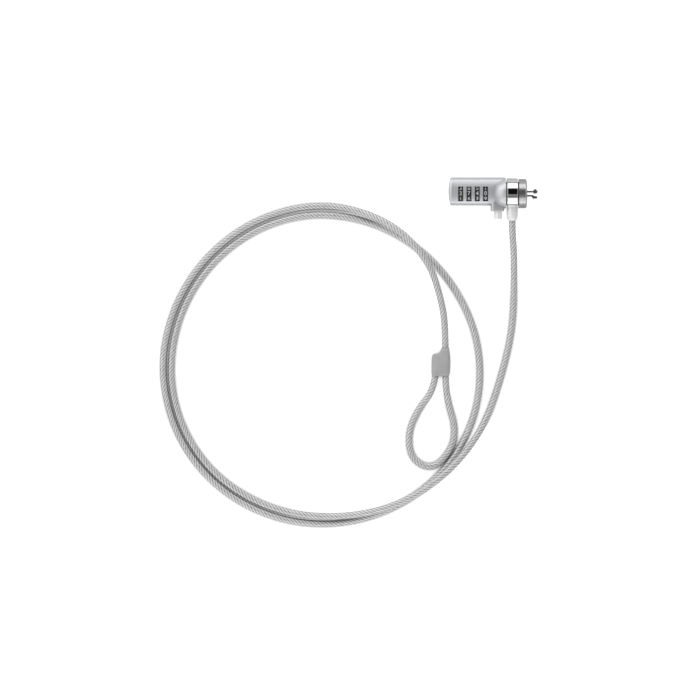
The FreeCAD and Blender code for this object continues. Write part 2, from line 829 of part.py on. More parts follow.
def code_ring(i):
    half = S.dial_width / 2
    outer = S.dial_bore - S.running_gap
    body = revolved(f"code_body_{i + 1}", [
        (-half, S.spindle_radius + S.running_gap),
        (-half, outer),
        (half, outer),
        (half, S.code_flange_radius),
        (half + S.code_flange, S.code_flange_radius),
        (half + S.code_flange, S.spindle_radius + S.running_gap),
    ])
    tooth_half = S.tooth_width / 2
    tooth = draw(body, f"tooth_{i + 1}", "YZ_Plane", [
        (outer - S.tooth_height, tooth_half),
        (outer + S.tooth_height, tooth_half),
        (outer + S.tooth_height, -tooth_half),
        (outer - S.tooth_height, -tooth_half),
    ], -half)
    ring_of(body, f"teeth_{i + 1}", add_pad(body, f"tooth_pad_{i + 1}", tooth, S.dial_width), tooth)
    along = (-half - S.overrun, half + S.code_flange + S.overrun)
    gate = box(f"gate_{i + 1}", along, both_sides(S.gate_half_width), (ZERO, S.gate_radius))
    side_gate = box(f"side_gate_{i + 1}", along, (ZERO, S.gate_radius), both_sides(S.gate_half_width))
    seat(cut(f"code_cut_{i + 1}", body, gate, side_gate), f"code_ring_{i + 1}", (dial_x(i), ZERO, ZERO))


def detent_spring():
    top = S.detent_height + S.detent_thick
    start = dial_x(0) - S.detent_foot_half - S.slide_gap
    finish = dial_x(DIALS - 1) + S.dial_pitch - S.window_width / 2
    outline = [(start, S.detent_height), (start, top), (finish, top), (finish, S.detent_height)]
    for i in reversed(range(DIALS)):
        x = dial_x(i)
        outline += [
            (x + S.detent_foot_half, S.detent_height),
            (x + S.detent_tip_half, S.detent_tip),
            (x - S.detent_tip_half, S.detent_tip),
            (x - S.detent_foot_half, S.detent_height),
        ]
    seat(padded("detent_body", "XY_Plane", outline, -S.detent_half_width, S.detent_half_width),
         "detent_spring")


# Release: spindle, hooks, pins, button and return spring

def spindle():
    cam_back = CAM_FRONT - S.cam_disc_thick
    turned = revolved("spindle_body", [
        (-S.spindle_end, S.spring_bore),
        (-S.spindle_end, S.spindle_radius),
        (cam_back, S.spindle_radius),
        (cam_back, S.cam_disc_radius),
        (CAM_FRONT, S.cam_disc_radius),
        (CAM_FRONT, S.spindle_radius),
        (-S.head_back, S.spindle_radius),
        (-S.head_back, CORE_BORE_GAP),
        (-S.head_front, CORE_BORE_GAP),
        (-S.head_front, ZERO),
        (S.spring_bore_depth - S.spindle_end, ZERO),
        (S.spring_bore_depth - S.spindle_end, S.spring_bore),
    ])
    lugs = []
    for i in range(DIALS):
        low = dial_x(i) + S.dial_width / 2 + S.code_flange + S.lug_lead
        lugs.append(box(f"lug_{i + 1}", (low, low + S.lug_length), both_sides(S.lug_half_width),
                        (S.spindle_radius / 2 + S.spring_bore / 2, S.lug_radius)))
    fork = box("spindle_fork", (-S.head_front - S.fork_depth, ZERO), both_sides(S.core_bore * 2),
               both_sides(HOOK_DEPTH + S.slide_gap))
    pin_hole = rod("spindle_pin_hole", "z", S.pin_radius + S.running_gap, -S.core_bore * 2, S.core_bore * 2,
                   (DRIVE, 0))
    seat(cut("spindle_cut", join("spindle_whole", turned, *lugs), fork, pin_hole), "spindle")


def pins():
    reach = CORE_BORE_GAP - S.pin_inset
    seat(rod("drive_pin_rod", "z", S.pin_radius, -reach, reach), "drive_pin")
    put(NODES["drive_pin"], (NOSE_X + DRIVE, AXIS_Y, AXIS_Z - reach))
    reach = S.stub_radius - S.pin_inset
    seat(rod("pivot_pin_rod", "z", S.pin_radius, -reach, reach), "hook_pivot_pin")
    put(NODES["hook_pivot_pin"], (NOSE_X + PIVOT, AXIS_Y, AXIS_Z - reach))


def cam_slot(side):
    """The slanted slot in a hook's tail, which the drive pin pulls along."""
    far = S.drive_back + S.spindle_travel
    run = root(far * far - S.cam_rise * S.cam_rise) - S.drive_back
    length = root(run * run + S.cam_rise * S.cam_rise)
    ux = -run / length
    uy = -S.cam_rise / length
    half = S.pin_radius + S.slide_gap
    start_x = DRIVE - ux * half
    start_y = -uy * half
    end_x = DRIVE - run + ux * half
    end_y = -S.cam_rise + uy * half
    corners = [
        (start_x - uy * half, start_y + ux * half),
        (end_x - uy * half, end_y + ux * half),
        (end_x + uy * half, end_y - ux * half),
        (start_x + uy * half, start_y - ux * half),
    ]
    return [(x, y * side) for x, y in corners]


def hook(name, side, start, inner, outer, front):
    """A hook lever: tail with the cam slot, eye on the pivot pin, neck and hook. side is 1 for the upper."""
    eye = S.hook_eye
    tail_back = PIVOT - S.tail_length
    bevel = S.hook_bevel
    outline = [
        (PIVOT + eye / 2, -eye),
        (PIVOT - eye, -eye),
        (DRIVE, -eye),
        (tail_back + eye / 2, -S.tail_drop),
        (tail_back, -S.tail_drop + bevel),
        (tail_back, bevel),
        (DRIVE - eye / 2, eye),
        (PIVOT + eye / 2, eye),
        (-bevel, outer),
        (start - bevel, outer),
        *front,
        (S.hook_start, inner),
        (-bevel, inner),
    ]
    outline = [(x, y * side) for x, y in outline]
    low, high = (S.hook_split, HOOK_DEPTH) if side > 0 else (-HOOK_DEPTH, -S.hook_split)
    body = padded(name + "_body", "XY_Plane", outline, low, high)
    eye_hole = rod(name + "_eye", "z", S.pin_radius + S.running_gap, -HOOK_DEPTH * 2, HOOK_DEPTH * 2,
                   (PIVOT, 0))
    slot = padded(name + "_slot", "XY_Plane", cam_slot(side), -HOOK_DEPTH * 2, HOOK_DEPTH * 2)
    seat(cut(name + "_cut", body, eye_hole, slot), name)


def hooks():
    bevel = S.hook_bevel
    hook("upper_hook", 1, S.hook_start, S.neck_inner, S.neck_outer, [
        (S.hook_start, S.hook_rise - bevel * 2),
        (S.hook_apex - bevel, S.hook_rise),
        (S.hook_apex + bevel, S.hook_rise),
        (S.hook_reach, S.hook_tip_height),
        (S.hook_reach - bevel * 2, S.hook_chin / 2),
        (S.hook_start + bevel, -S.hook_chin),
    ])
    hook("lower_hook", -1, S.lower_hook_start, S.lower_neck_inner, S.lower_neck_outer, [
        (S.lower_hook_start, S.lower_hook_rise - bevel / 2),
        (S.lower_hook_start + bevel, S.lower_hook_rise),
        (S.lower_hook_reach - bevel, S.lower_hook_rise),
        (S.lower_hook_reach, S.lower_hook_rise - bevel),
        (S.lower_hook_reach, S.lower_neck_outer),
        (S.hook_start + bevel, S.lower_neck_outer - bevel),
    ])


def release_button():
    block = padded("button_block", "XY_Plane", [
        (WEDGE_BOTTOM, -S.block_bottom),
        (WEDGE_BOTTOM, -S.block_wedge_low),
        (WEDGE_TOP, -S.prong_top),
        (BLOCK_FRONT, -S.prong_top),
        (BLOCK_FRONT, -S.block_bottom),
    ], -S.block_half_depth, S.block_half_depth)
    gap = box("button_gap", (WEDGE_BOTTOM - S.overrun, BLOCK_FRONT + S.overrun), (-S.block_floor, ZERO),
              both_sides(S.prong_inner))
    forked = cut("button_forked", block, gap)
    stem = revolved("button_stem", [
        (ZERO, -S.button_end),
        (ZERO, -(S.block_bottom - S.button_edge)),
        (S.button_radius, -(S.block_bottom - S.button_edge)),
        (S.button_radius, S.button_edge - S.button_end, S.button_edge, -1),
        (S.button_radius - S.button_edge, -S.button_end),
    ], "V_Axis")
    put(stem, (-S.button_back, 0, 0))
    seat(join("button_whole", forked, stem), "release_button")


def coil(start, turns, pitch, radius, wire):
    """A coil of wire along X as one tube, in quarter-turn arcs."""
    quarters = int(turns * 4)

    def spot(k):
        angle = math.pi / 2 * k
        return FreeCAD.Vector(start + pitch * k / 4, radius * math.cos(angle), radius * math.sin(angle))

    arcs = [Part.Arc(spot(k), spot(k + 0.5), spot(k + 1)).toShape() for k in range(quarters)]
    path = Part.Wire(arcs)
    way = arcs[0].tangentAt(arcs[0].FirstParameter)
    ring = Part.Wire(Part.Circle(spot(0), way, wire / 2).toShape())
    return path.makePipeShell([ring], True, False)


def return_spring():
    wire = S.coil_wire.value
    low = CAP_BORE_END.value + wire
    high = S.spring_bore_depth.value - S.spindle_end.value - wire
    turns = S.coil_turns.value
    obj = doc.addObject("Part::Feature", "return_spring")
    obj.Shape = coil(low, turns, (high - low) / turns, S.coil_radius.value, wire)
    seat(obj, "return_spring")
    print("return spring: pitch", round((high - low) / turns, 3), "wire", wire,
          "gap between turns", round((high - low) / turns - wire, 3))


# Cable, crimp and sleeve

def tube(points, radius, name):
    """A tube along straight runs joined by tangent arcs, each as large as its runs allow."""
    spots = [FreeCAD.Vector(*p) for p in points]
    edges = []
    radii = []
    at = spots[0]
    for before, corner, after in zip(spots, spots[1:], spots[2:]):
        way_in = (corner - before).normalize()
        way_out = (after - corner).normalize()
        setback = 0.45 * min((corner - before).Length, (after - corner).Length)
        turn = way_in.getAngle(way_out)
        first = corner - way_in * setback
        last = corner + way_out * setback
        arc_radius = setback / math.tan(turn / 2)
        radii.append(arc_radius)
        inward = (way_out - way_in).normalize()
        middle = corner + inward * (math.hypot(arc_radius, setback) - arc_radius)
        edges.append(Part.LineSegment(at, first).toShape())
        edges.append(Part.Arc(first, middle, last).toShape())
        at = last
    edges.append(Part.LineSegment(at, spots[-1]).toShape())
    path = Part.Wire(edges)
    start_way = (spots[1] - spots[0]).normalize()
    ring = Part.Wire(Part.Circle(spots[0], start_way, radius).toShape())
    solid = path.makePipeShell([ring], True, False)
    ideal = math.pi * radius * radius * path.Length
    print(name, "length", round(path.Length, 1), "volume ratio", round(solid.Volume / ideal, 5),
          "valid", solid.isValid(), "radii", [round(r, 1) for r in radii])
    return solid, path.discretize(Distance=1.0)


def least_gap(name, points, radius, skip):
    """Prints the least space a tube leaves to itself, on points a millimetre apart along its middle."""
    least = min((p.distanceToPoint(q), i, i + skip + j) for i, p in enumerate(points)
                for j, q in enumerate(points[i + skip:]))
    gap = least[0] - 2 * radius
    print(name, "least gap to itself", round(gap, 3), "between points", least[1], least[2])


def turn_point(bearing, reach, height):
    """A point of the turns from its bearing and distance."""
    a = math.radians(bearing)
    return (LOOP_CENTRE[0] + reach * math.cos(a), LOOP_CENTRE[1] + reach * math.sin(a), height)


def cable():
    ferrule_x = (NOSE_X + RING_MIDDLE).value
    meeting = -(S.crimp_bottom.value - S.crimp_length.value / 2)
    start = (ferrule_x, AXIS_Y.value - S.ferrule_bore_top.value, AXIS_Z.value)
    joint = (STRAND_RIGHT.value, meeting, STRAND_Z.value)
    route = [start, *ROUTE_START, *[turn_point(*p) for p in ROUTE_TURNS], *ROUTE_END, joint]
    run = doc.addObject("Part::Feature", "cable_run")
    run.Shape, run_points = tube(route, S.cable_radius.value, "cable run")
    lay(run, "cable_run")
    dead_y = S.crimp_length - S.crimp_bottom - S.overrun
    dead_end = (STRAND_LEFT.value, dead_y.value, STRAND_Z.value)
    eye = doc.addObject("Part::Feature", "cable_eye")
    eye.Shape, eye_points = tube([joint, *EYE, dead_end], S.cable_radius.value, "cable eye")
    lay(eye, "cable_eye")
    least_gap("cable and eye", run_points + eye_points[1:], S.cable_radius.value, 20)


def strand_bores(name, gap, low, high):
    """The two bores for the strands, low and high measured down the sheet of the table."""
    radius = S.cable_radius + gap
    return [
        rod(f"{name}_{word}", "y", radius, -high, -low, (x, STRAND_Z))
        for word, x in (("right", STRAND_RIGHT), ("left", STRAND_LEFT))
    ]


def crimp():
    half = S.crimp_width / 2
    top = S.crimp_bottom - S.crimp_length
    body = padded("crimp_body", "XZ_Plane",
                  rounded_box(-S.sleeve_middle - half, half - S.sleeve_middle, S.crimp_height / 2,
                              S.crimp_corner, STRAND_Z), top, S.crimp_bottom)
    lay(cut("crimp_cut", body, *strand_bores("crimp_bore", S.running_gap, top - S.overrun,
                                                 S.crimp_bottom + S.overrun)),
        "loop_crimp")


def sleeve():
    half = S.sleeve_width / 2
    low = -S.sleeve_middle - half
    high = half - S.sleeve_middle
    both = padded("sleeve_both", "XZ_Plane",
                  rounded_box(low, high, S.sleeve_height / 2, S.sleeve_corner, STRAND_Z),
                  S.sleeve_bottom - S.sleeve_short, S.sleeve_bottom)
    rounded(both, "sleeve_both_edges", S.sleeve_edge, is_level)
    right = padded("sleeve_right", "XZ_Plane",
                   rounded_box(high - half, high, S.sleeve_height / 2, S.sleeve_corner - S.sleeve_edge,
                               STRAND_Z),
                   S.sleeve_bottom - S.sleeve_long, S.sleeve_bottom - S.sleeve_edge)
    rounded(right, "sleeve_right_edges", S.sleeve_edge, is_level)
    whole = join("sleeve_whole", both, right)
    crimp_half = S.crimp_width / 2 + S.running_gap
    top = S.crimp_bottom - S.crimp_length
    pocket = padded("sleeve_pocket", "XZ_Plane",
                    rounded_box(-S.sleeve_middle - crimp_half, crimp_half - S.sleeve_middle,
                                S.crimp_height / 2 + S.running_gap, S.crimp_corner + S.running_gap,
                                STRAND_Z), top, S.crimp_bottom)
    right_bore = rod("sleeve_right_bore", "y", S.cable_radius + S.running_gap, -S.sleeve_bottom - S.overrun,
                     -(S.sleeve_bottom - S.sleeve_long) + S.overrun, (STRAND_RIGHT, STRAND_Z))
    left_bore = rod("sleeve_left_bore", "y", S.cable_radius + S.running_gap, -S.sleeve_bottom - S.overrun,
                    -top, (STRAND_LEFT, STRAND_Z))
    lay(cut("sleeve_cut", whole, pocket, right_bore, left_bore), "loop_sleeve")


def is_level(edge):
    """True for an edge that lies square across the strands."""
    ys = [v.Y for v in edge.Vertexes]
    return max(ys) - min(ys) < 1e-6


def check_and_export():
    """Stops on any failed object, then writes each piece to its own file."""
    doc.recompute()
    for obj in doc.Objects:
        if "Invalid" in obj.State or "Error" in obj.State:
            raise RuntimeError(f"{obj.Label}: {obj.State}")
    os.makedirs("parts", exist_ok=True)
    for node, obj in NODES.items():
        shape = obj.Shape
        if shape.isNull() or not shape.isValid() or not shape.Solids:
            raise RuntimeError(f"{node} has no valid solid")
        shape.exportStep(f"parts/{node}.step")
        print(node, len(shape.Solids), "solids", round(shape.Volume, 2), "mm3")


def main():
    nose_collar()
    swivel_ring()
    journal_core()
    cable_ferrule()
    shells()
    end_cap()
    shell_screw()
    code_setter()
    for i in range(DIALS):
        dial_wheel(i)
        code_ring(i)
    detent_spring()
    spindle()
    pins()
    hooks()
    release_button()
    return_spring()
    crimp()
    sleeve()
    cable()
    check_and_export()


main()
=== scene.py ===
import math

import bmesh
import bpy
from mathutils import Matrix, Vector


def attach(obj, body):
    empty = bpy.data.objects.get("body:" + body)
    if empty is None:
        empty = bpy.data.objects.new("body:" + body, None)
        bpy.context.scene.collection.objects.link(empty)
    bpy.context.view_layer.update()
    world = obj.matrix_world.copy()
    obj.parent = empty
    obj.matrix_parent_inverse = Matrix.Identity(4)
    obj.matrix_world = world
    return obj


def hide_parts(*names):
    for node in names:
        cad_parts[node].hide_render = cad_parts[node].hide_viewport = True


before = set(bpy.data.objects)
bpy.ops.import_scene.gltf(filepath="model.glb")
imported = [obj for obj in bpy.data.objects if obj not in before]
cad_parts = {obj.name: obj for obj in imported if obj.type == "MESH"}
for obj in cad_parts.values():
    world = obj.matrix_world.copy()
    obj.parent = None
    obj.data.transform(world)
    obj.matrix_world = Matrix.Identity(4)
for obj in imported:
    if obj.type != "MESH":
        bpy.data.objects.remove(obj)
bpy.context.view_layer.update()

MM = 0.001

# The head's place: the lock's axis runs along X, and the nose collar's front face is at NOSE_X
NOSE_X = 21.35 * MM
AXIS_Y = 3.525 * MM
AXIS_Z = 9.8 * MM
DIAL_FIRST = -42.2 * MM
DIAL_PITCH = 5.27 * MM
DIAL_RADIUS = 5.7 * MM
DIALS = 4
DIGITS = 10

# The cable's ends and the sleeve, as in the part
CABLE_RADIUS = 2.2 * MM
SLEEVE_X = -33.2 * MM
SLEEVE_BOTTOM = -113.05 * MM
STRAND_Z = 3.9 * MM

# The main cable's route from the ferrule to the crimp, and the eye's, in millimetres as in the part.
# The turns are given as bearing round the loop's centre in degrees, reach and height.
ROUTE_START = [
    (12.15, -6.275, 9.8), (12.15, -20, 9.8), (13.3, -33, 7.4), (13.6, -46, 4.0), (13.7, -62, 2.2),
    (12.3, -86, 2.2),
]
LOOP_CENTRE = (-110.6, -104.05)
ROUTE_TURNS = [
    (-6, 116.1, 2.2), (-22, 113.1, 2.2), (-41, 108.8, 11.0), (-62, 104.7, 11.0), (-84, 100.8, 5.0),
    (-107, 100.1, 2.2), (-130, 99.9, 2.2), (-152, 99.0, 2.2), (-174, 97.6, 2.2), (-197, 95.8, 2.2),
    (-220, 94.9, 2.2), (-243, 95.1, 2.2), (-265, 95.9, 2.2), (-287, 96.2, 2.2), (-309, 97.3, 2.2),
    (-331, 99.6, 2.2), (-353, 103.2, 2.2), (-375, 106.0, 2.2), (-397, 107.4, 2.2), (-420, 106.6, 2.2),
    (-443, 105.9, 2.2), (-466, 105.4, 2.2), (-489, 105.0, 2.2), (-512, 104.3, 2.2), (-535, 102.8, 2.2),
    (-557, 101.0, 2.2), (-579, 100.1, 2.2), (-601, 100.4, 2.2), (-622, 101.2, 2.2), (-641, 101.3, 2.2),
    (-660, 99.6, 11.0), (-678, 94.4, 11.0),
]
ROUTE_END = [(-32.9, -64.75, 7.0), (-30.3, -81.75, 3.9), (-30.3, -106.05, 3.9)]
EYE = [
    (-30.3, -106.05, 3.9), (-30.3, -119.75, 3.9), (-27.9, -132.75, 2.2), (-24.0, -145.75, 2.2),
    (-25.7, -159.25, 2.2), (-37.9, -173.0, 2.2), (-52.0, -166.95, 2.2), (-54.4, -150.75, 2.2),
    (-48.6, -135.75, 2.2), (-36.1, -119.5, 3.9), (-36.1, -101.55, 3.9),
]


# Camera: straight above, as the photograph is taken

PHOTO_CENTRE = (-91.43 * MM, -96.39 * MM)
PHOTO_WIDTH = 448 * MM
LENS = 200
SENSOR = 36
FARTHEST = 100


def camera():
    data = bpy.data.cameras.new("camera")
    data.lens = LENS
    data.sensor_width = SENSOR
    data.clip_end = FARTHEST
    cam = bpy.data.objects.new("camera", data)
    bpy.context.scene.collection.objects.link(cam)
    distance = PHOTO_WIDTH * LENS / SENSOR
    cam.location = (*PHOTO_CENTRE, distance + AXIS_Z / 2)
    bpy.context.scene.camera = cam


# Node trees

# Samples for the occlusion that paints shade into colours
PAINTED_SHADE_SAMPLES = 8


class Nodes:
    """A short way to build a material's or the world's node tree."""

    def __init__(self, owner):
        owner.use_nodes = True
        self.tree = owner.node_tree
        self.tree.nodes.clear()

    def add(self, kind, **values):
        node = self.tree.nodes.new(kind)
        for key, value in values.items():
            setattr(node, key, value)
        return node

    def link(self, source, target):
        self.tree.links.new(source, target)

    def fill(self, socket, value):
        """Sets a socket, or links it when the value is another socket."""
        if isinstance(value, bpy.types.NodeSocket):
            self.link(value, socket)
        elif value is not None:
            socket.default_value = value

    def maths(self, operation, a, b=None, c=None):
        node = self.add("ShaderNodeMath", operation=operation)
        for socket, value in zip(node.inputs, (a, b, c)):
            self.fill(socket, value)
        return node.outputs[0]

    def times(self, a, b):
        return self.maths("MULTIPLY", a, b)

    def clamped(self, value):
        """The value, kept between 0 and 1."""
        return self.maths("MINIMUM", self.maths("MAXIMUM", value, 0.0), 1.0)

    def place(self):
        return self.add("ShaderNodeTexCoord").outputs["Object"]

    def stretched(self, vector, scale):
        node = self.add("ShaderNodeMapping")
        self.link(vector, node.inputs["Vector"])
        node.inputs["Scale"].default_value = scale
        return node.outputs[0]

    def noise(self, vector, scale, detail=2.0, roughness=0.5):
        node = self.add("ShaderNodeTexNoise")
        self.link(vector, node.inputs["Vector"])
        node.inputs["Scale"].default_value = scale
        node.inputs["Detail"].default_value = detail
        node.inputs["Roughness"].default_value = roughness
        return node.outputs["Fac"]

    def ramp(self, factor, *stops):
        node = self.add("ShaderNodeValToRGB")
        self.link(factor, node.inputs["Fac"])
        ramp = node.color_ramp
        while len(ramp.elements) < len(stops):
            ramp.elements.new(0.5)
        for element, (position, colour) in zip(ramp.elements, stops):
            element.position = position
            element.color = grey(colour)
        return node.outputs["Color"]

    def span(self, factor, low, high):
        """Carries a factor from 0 to 1 onto low to high."""
        node = self.add("ShaderNodeMapRange")
        self.link(factor, node.inputs["Value"])
        node.inputs["To Min"].default_value = low
        node.inputs["To Max"].default_value = high
        return node.outputs[0]

    def bump(self, height, strength, depth):
        node = self.add("ShaderNodeBump")
        self.link(height, node.inputs["Height"])
        node.inputs["Strength"].default_value = strength
        node.inputs["Distance"].default_value = depth
        return node.outputs[0]

    def occlusion(self, reach):
        """A node that tells how open a spot is, looking this far round it, for painted shade."""
        node = self.add("ShaderNodeAmbientOcclusion", samples=PAINTED_SHADE_SAMPLES)
        node.inputs["Distance"].default_value = reach
        return node

    def nooks(self, tone, reach):
        """The same tone with painted shade, darker in creases and where pieces meet."""
        node = self.occlusion(reach)
        self.link(tone, node.inputs["Color"])
        return node.outputs["Color"]

    def surface(self, colour, metallic, roughness, normal=None, **others):
        shader = self.add("ShaderNodeBsdfPrincipled")
        self.fill(shader.inputs["Base Color"], colour)
        self.fill(shader.inputs["Metallic"], metallic)
        self.fill(shader.inputs["Roughness"], roughness)
        self.fill(shader.inputs["Normal"], normal)
        for key, value in others.items():
            self.fill(shader.inputs[key.replace("_", " ")], value)
        out = self.add("ShaderNodeOutputMaterial")
        self.link(shader.outputs[0], out.inputs["Surface"])


def grey(value):
    """A colour from one number, or from three."""
    return (value, value, value, 1) if isinstance(value, (int, float)) else (*value, 1)


def material(name):
    made = bpy.data.materials.new(name)
    return made, Nodes(made)


# Materials

# Where a broad noise starts and ends its drift from a finish's first tone to its second
DRIFT_START = 0.3
DRIFT_END = 0.7

# The rope's tones from its grooves to its crowns, which paint shade into the grooves between strands, and
# how much the painted shade between its wires and its soil change them
ROPE_GROOVE_SHADE_TONES = ((0.1, 0.08), (0.5, 0.48), (0.95, 0.80))
WIRE_PAINTED_SHADE = 0.12
SOIL_SHADE = 0.5


def finish(name, tones, rough, metallic, fine, broad, bump, depth, grain=(1, 1, 1), detail=2.0, crease_shade_reach=None,
           **coat):
    """A finish whose tone drifts broadly, while its roughness and its bumps vary finely; given a reach,
    painted shade darkens its creases.
    """
    made, nodes = material(name)
    grains = nodes.noise(nodes.stretched(nodes.place(), grain), fine, detail)
    drift = nodes.noise(nodes.place(), broad)
    tone = nodes.ramp(drift, (DRIFT_START, tones[0]), (DRIFT_END, tones[1]))
    if crease_shade_reach:
        # Painted shade: the tone is darkened in creases and where pieces meet.
        tone = nodes.nooks(tone, crease_shade_reach)
    normal = nodes.bump(grains, bump, depth) if bump else None
    nodes.surface(tone, metallic, nodes.span(grains, *rough), normal, **coat)
    return made


def metal(name, tones, rough, grain=(1, 1, 1), fine=2500, bump=0.0):
    """Bare or plated metal, turned or drawn along a grain."""
    return finish(name, tones, rough, metallic=1.0, fine=fine, broad=160, bump=bump, depth=0.02 * MM,
                  grain=grain, detail=3.0)


def paint(name, tones):
    """Silver paint: fine metal flakes under a soft clear coat, with painted shade in its creases and where
    it meets other pieces.
    """
    return finish(name, tones, rough=(0.32, 0.42), metallic=0.5, fine=9000, broad=90, bump=0.08,
                  depth=0.01 * MM, detail=1.0, crease_shade_reach=5 * MM, Coat_Weight=0.4, Coat_Roughness=0.2)


def frosted(name, tones):
    """Pale plating with a matt, finely blasted face."""
    return finish(name, tones, rough=(0.36, 0.48), metallic=0.25, fine=6000, broad=200, bump=0.1,
                  depth=0.01 * MM)


def plastic(name, tones, rough, bump=0.1):
    """Moulded plastic with a fine grain."""
    return finish(name, tones, rough, metallic=0.0, fine=4000, broad=140, bump=bump, depth=0.03 * MM)


def rope_steel():
    """Bright wire under a clear coat, with painted shade in its grooves taken from the lay that the rope's
    mesh carries, and painted shade where strands meet.
    """
    made, nodes = material("rope_steel")
    parts = nodes.add("ShaderNodeSeparateXYZ")
    nodes.link(nodes.add("ShaderNodeAttribute", attribute_name="lay").outputs["Vector"], parts.inputs[0])
    crown = parts.outputs["X"]
    wires = nodes.maths("SINE", parts.outputs["Y"])
    soil = nodes.noise(nodes.place(), scale=700, detail=3.0, roughness=0.6)
    # Painted shade: darker in the grooves between strands and between wires.
    shade = nodes.maths("MULTIPLY_ADD", wires, WIRE_PAINTED_SHADE, crown)
    shade = nodes.maths("MULTIPLY_ADD", soil, SOIL_SHADE, nodes.maths("SUBTRACT", shade, SOIL_SHADE / 2))
    # Painted shade where the strands meet each other and the floor.
    tone = nodes.nooks(nodes.ramp(shade, *ROPE_GROOVE_SHADE_TONES), reach=2.5 * MM)
    normal = nodes.bump(wires, strength=0.3, depth=0.05 * MM)
    nodes.surface(tone, metallic=0.4, roughness=0.45, normal=normal, Coat_Weight=0.4, Coat_Roughness=0.2)
    return made


def looks():
    """Every look by its name."""
    return {
        "paint": paint("silver_paint", ((0.62, 0.635, 0.66), (0.67, 0.685, 0.71))),
        "chrome": metal("bright_chrome", (0.82, 0.88), (0.04, 0.07)),
        "plated": frosted("frosted_plate", (0.95, 0.99)),
        "satin": metal("satin_turned", (0.48, 0.52), (0.27, 0.31), grain=(12, 1, 1), fine=900, bump=0.03),
        "steel": metal("hook_steel", (0.30, 0.42), (0.24, 0.4), grain=(1, 6, 1), fine=1500, bump=0.1),
        # Near black, so that the gaps round the core look dark: painted shade.
        "core": metal("cast_core_painted_dark", (0.03, 0.05), (0.45, 0.6), bump=0.2),
        "brass": metal("turned_brass", ((0.6, 0.45, 0.2), (0.75, 0.58, 0.3)), (0.25, 0.4),
                       grain=(10, 1, 1)),
        "bare": metal("bare_steel", (0.45, 0.58), (0.25, 0.4)),
        "crimp": metal("pressed_crimp", (0.55, 0.65), (0.35, 0.5)),
        "wheel": plastic("black_wheel", (0.012, 0.02), (0.3, 0.42)),
        "figures": plastic("white_figures", (0.58, 0.66), (0.45, 0.6)),
        "sleeve": plastic("grey_sleeve", (0.42, 0.47), (0.42, 0.55), bump=0.2),
        "rope": rope_steel(),
    }


NODE_LOOKS = {
    "paint": ["upper_shell", "lower_shell", "end_cap"],
    "chrome": ["swivel_ring"],
    "plated": ["cable_ferrule", "release_button"],
    "satin": ["nose_collar"],
    "steel": ["upper_hook", "lower_hook", "hook_pivot_pin"],
    "core": ["journal_core"],
    "brass": [f"code_ring_{i + 1}" for i in range(DIALS)],
    "bare": ["spindle", "drive_pin", "cap_pins", "shell_screw", "code_setter", "detent_spring",
             "return_spring"],
    "crimp": ["loop_crimp"],
    "wheel": [f"dial_wheel_{i + 1}" for i in range(DIALS)],
}


def dress_nodes(looks_by_name):
    """Gives each CAD node its finish."""
    for look, nodes in NODE_LOOKS.items():
        for node in nodes:
            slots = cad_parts[node].data.materials
            for k in range(len(slots)):
                slots[k] = looks_by_name[look]


# Meshes


def skin(mesh, rings):
    """Joins rings of as many vertices into one closed skin."""
    for a, b in zip(rings, rings[1:]):
        for k in range(len(a)):
            after = (k + 1) % len(a)
            mesh.faces.new((a[k], a[after], b[after], b[k]))
    mesh.faces.new(list(reversed(rings[0])))
    mesh.faces.new(rings[-1])
    bmesh.ops.recalc_face_normals(mesh, faces=mesh.faces)


def finish_mesh(name, mesh, look, smooth=True):
    data = bpy.data.meshes.new(name)
    mesh.to_mesh(data)
    mesh.free()
    data.materials.append(look)
    if smooth:
        data.shade_smooth()
    obj = bpy.data.objects.new(name, data)
    bpy.context.scene.collection.objects.link(obj)
    return obj


# Cable

ROPE_STRANDS = 6
ROPE_LAY = 15 * MM
ROPE_STEP = 0.8 * MM
ROPE_SIDES = 42
CURVE_STEPS = 40
SHORTEST = 1e-12

# How deep the grooves between strands are, as a share of the radius, and how round the strands' crowns
STRAND_DEPTH = 0.16
CROWN_POWER = 0.7

# The wires that cross a strand's crown, and how far apart they are along the rope
WIRE_TURNS = 5
WIRE_PITCH = 1.1 * MM


def centreline(name, points):
    """Points along the smooth line that the route's control points give, a step apart."""
    data = bpy.data.curves.new(name, "CURVE")
    data.dimensions = "3D"
    spline = data.splines.new("NURBS")
    spline.points.add(len(points) - 1)
    for point, place in zip(spline.points, points):
        point.co = (*[v * MM for v in place], 1)
    spline.order_u = 3
    spline.use_endpoint_u = True
    spline.resolution_u = CURVE_STEPS
    obj = bpy.data.objects.new(name, data)
    bpy.context.scene.collection.objects.link(obj)
    bpy.context.view_layer.update()
    mesh = bpy.data.meshes.new_from_object(obj)
    line = [v.co.copy() for v in mesh.vertices]
    bpy.data.objects.remove(obj)
    bpy.data.meshes.remove(mesh)
    return even_steps(line, ROPE_STEP)


def even_steps(line, step):
    """The same line with its points an even step apart."""
    lengths = [0.0]
    for a, b in zip(line, line[1:]):
        lengths.append(lengths[-1] + (b - a).length)
    count = max(2, round(lengths[-1] / step))
    spots = []
    k = 0
    for i in range(count + 1):
        at = lengths[-1] * i / count
        while k < len(line) - 2 and lengths[k + 1] < at:
            k += 1
        share = (at - lengths[k]) / max(lengths[k + 1] - lengths[k], SHORTEST)
        spots.append(line[k].lerp(line[k + 1], min(max(share, 0), 1)))
    return spots


def carried_frames(line):
    """Two directions across the line at each point, carried along it without twist."""
    up = Vector((0, 0, 1))
    frames = []
    for i in range(len(line)):
        way = (line[min(i + 1, len(line) - 1)] - line[max(i - 1, 0)]).normalized()
        up = (up - way * up.dot(way)).normalized()
        frames.append((up.copy(), way.cross(up)))
    return frames


